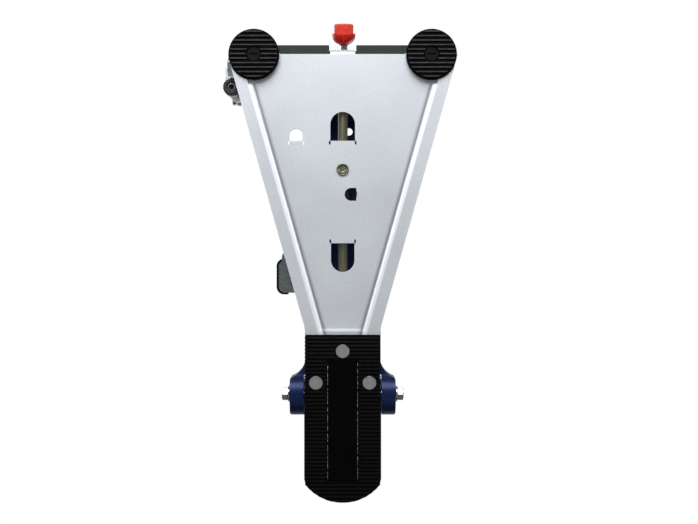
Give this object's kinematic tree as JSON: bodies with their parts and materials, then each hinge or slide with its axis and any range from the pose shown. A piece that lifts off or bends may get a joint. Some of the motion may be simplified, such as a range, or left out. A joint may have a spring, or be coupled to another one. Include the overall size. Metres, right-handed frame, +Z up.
{
  "type": "bass drum pedal",
  "caption": "Single bass drum pedal with a long footboard, tapered base plate, direct drive link, felt beater, side return spring and hoop clamp.",
  "frame": {"origin": "on the floor under the heel hinge, on the underside of the grip strip", "axes": "+Z up, +Y forward to the drum, +X to the player's right"},
  "size_m": [0.1914, 0.4293, 0.2469],
  "materials": {
    "plate_steel": "satin silver paint",
    "sole_rubber": "matt",
    "strip_fabric": "moulded hook tape",
    "rivet_steel": "satin",
    "brass": "satin",
    "bright_steel": "polished",
    "black_steel": "black oxide",
    "bar_casting": "satin",
    "post_casting": "satin",
    "bearing_steel": "ground",
    "blue_casting": "anodised blue",
    "black_plastic": "satin",
    "rod_steel": "zinc plated",
    "lever_steel": "satin",
    "red_shell": "gloss",
    "red_felt": "compressed felt"
  },
  "bodies": {
    "base": {"base_plate": "plate_steel", "heel_sole": "sole_rubber", "grip_strip": "strip_fabric", "sole_rivets": "rivet_steel", "panel_rivet": "rod_steel", "front_foot_right": "sole_rubber", "front_foot_left": "sole_rubber", "foot_screws": "black_steel", "hoop_cross_bar": "bar_casting", "hoop_pad": "sole_rubber", "post_right": "post_casting", "post_left": "post_casting", "post_screws": "bright_steel", "bearing_right": "bearing_steel", "bearing_left": "bearing_steel", "spring_bracket": "post_casting", "bracket_bolt": "bright_steel", "spring_eye_bolt": "bright_steel", "return_spring": "bright_steel", "heel_block": "blue_casting", "heel_axle": "bright_steel", "heel_nuts": "bright_steel", "heel_washers": "bright_steel", "clamp_jaw_pin": "bright_steel"},
    "footboard_body": {"footboard": "blue_casting", "heel_bushes": "brass", "toe_clevis": "post_casting", "clevis_screws": "bright_steel", "toe_pin": "bright_steel"},
    "axle_body": {"axle_shaft": "bright_steel", "axle_collar": "black_plastic", "drive_hub": "post_casting", "hub_screws": "bright_steel", "arm_pin": "bright_steel", "spring_rocker": "post_casting", "rocker_screw": "bright_steel"},
    "beater_body": {"beater_shaft": "bright_steel", "beater_cup": "red_shell", "beater_felt": "red_felt"},
    "link_body": {"drive_link": "post_casting", "link_bushes": "brass"},
    "swivel_body": {"spring_swivel": "bright_steel"},
    "knob_body": {"spring_knob": "black_plastic"},
    "nut_body": {"knob_nut": "bright_steel"},
    "clamp_lever_body": {"clamp_rod": "rod_steel", "lever_arm": "lever_steel", "lever_edge": "sole_rubber", "rod_cam": "black_plastic", "rod_collar": "black_plastic"},
    "jaw_body": {"clamp_jaw": "post_casting", "jaw_pad": "sole_rubber"}
  },
  "joints": [
    {"name": "footboard_hinge", "type": "hinge", "parent": "base", "child": "footboard_body", "pos_m": [0, 0, 0.0185], "axis": [1, 0, 0], "range_deg": [0, 4.5]},
    {"name": "beater_axle", "type": "hinge", "parent": "base", "child": "axle_body", "pos_m": [0, 0.262, 0.102], "axis": [1, 0, 0], "range_deg": [0, 44.01], "stiffness_Nm_per_rad": 0.3, "springref_deg": 114.59, "deforming": ["return_spring"]},
    {"name": "drive_link_swing", "type": "hinge", "parent": "axle_body", "child": "link_body", "pos_m": [0, 0.27885, 0.08786], "axis": [1, 0, 0], "range_deg": [-57, 0]},
    {"name": "spring_swivel_turn", "type": "hinge", "parent": "axle_body", "child": "swivel_body", "pos_m": [0.0913, 0.25087, 0.1065], "axis": [1, 0, 0], "range_deg": [-44.1, 0]},
    {"name": "beater_height", "type": "slide", "parent": "axle_body", "child": "beater_body", "axis": [0, 0.2588, 0.9659], "range_m": [0, 0.015]},
    {"name": "clamp_lever_turn", "type": "hinge", "parent": "base", "child": "clamp_lever_body", "pos_m": [0, 0.16, 0.018], "axis": [0, 1, 0], "range_deg": [0, 18]},
    {"name": "clamp_jaw_rock", "type": "hinge", "parent": "base", "child": "jaw_body", "pos_m": [0, 0.255, 0.034], "axis": [1, 0, 0], "range_deg": [-4.7, 0]},
    {"name": "spring_knob_turn", "type": "hinge", "parent": "base", "child": "knob_body", "pos_m": [0.0913, 0.25087, 0.027], "axis": [0, 0, 1], "continuous": true},
    {"name": "knob_nut_turn", "type": "hinge", "parent": "base", "child": "nut_body", "pos_m": [0.0913, 0.25087, 0.031], "axis": [0, 0, 1], "continuous": true}
  ],
  "couplings": [
    {"joint": "beater_axle", "follows": "footboard_hinge", "ratio": 9.778},
    {"joint": "drive_link_swing", "follows": "footboard_hinge", "ratio": -12.648},
    {"joint": "spring_swivel_turn", "follows": "footboard_hinge", "ratio": -9.778},
    {"joint": "clamp_jaw_rock", "follows": "clamp_lever_turn", "ratio": -0.256}
  ]
}
